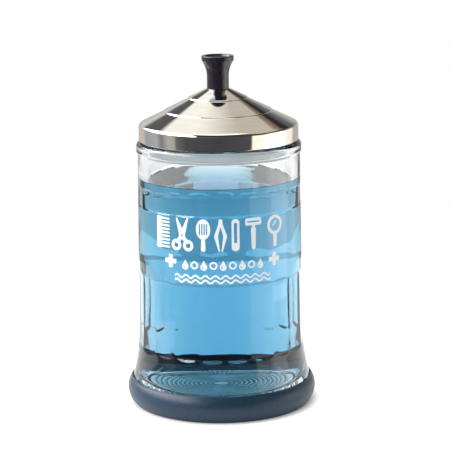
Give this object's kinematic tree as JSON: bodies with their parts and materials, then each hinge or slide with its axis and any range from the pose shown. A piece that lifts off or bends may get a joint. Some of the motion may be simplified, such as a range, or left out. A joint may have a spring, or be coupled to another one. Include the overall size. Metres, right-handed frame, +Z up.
{
  "type": "disinfectant jar",
  "caption": "Round pressed-glass disinfectant jar with flat panels, flared foot in a rubber ring, and a stepped metal lid with plug, seal and flared knob.",
  "frame": {"origin": "on the jar's axis, at the underside of the rubber base ring, where the jar meets the table", "axes": "+Z up along the jar's axis; -Y is the printed front; +X is to the right seen from the front"},
  "size_m": [0.1082, 0.1082, 0.1998],
  "materials": {
    "rubber": "matte moulded rubber",
    "glass": "clear fire-polished pressed glass",
    "seal_rubber": "half-clear blue soft silicone",
    "liner_plastic": "natural milky moulded plastic",
    "chrome": "polished spun metal",
    "knob_plastic": "satin black moulded plastic",
    "brass": "turned",
    "steel": "bright zinc",
    "liquid": "clear blue disinfectant",
    "print": "fired white enamel print"
  },
  "bodies": {
    "jar": {"glass_jar": "glass", "base_ring": "rubber"},
    "seal": {"lid_seal": "seal_rubber"},
    "lid": {"lid_shell": "chrome", "lid_liner": "liner_plastic", "knob": "knob_plastic", "knob_insert": "brass", "knob_screw": "steel", "knob_washer": "steel"}
  },
  "joints": [
    {"name": "lid_lift", "type": "slide", "parent": "jar", "child": "seal", "axis": [0, 0, 1], "range_m": [0, 0.09]},
    {"name": "lid_turn", "type": "hinge", "parent": "seal", "child": "lid", "pos_m": [0, 0, 0.153], "axis": [0, 0, 1], "continuous": true}
  ]
}
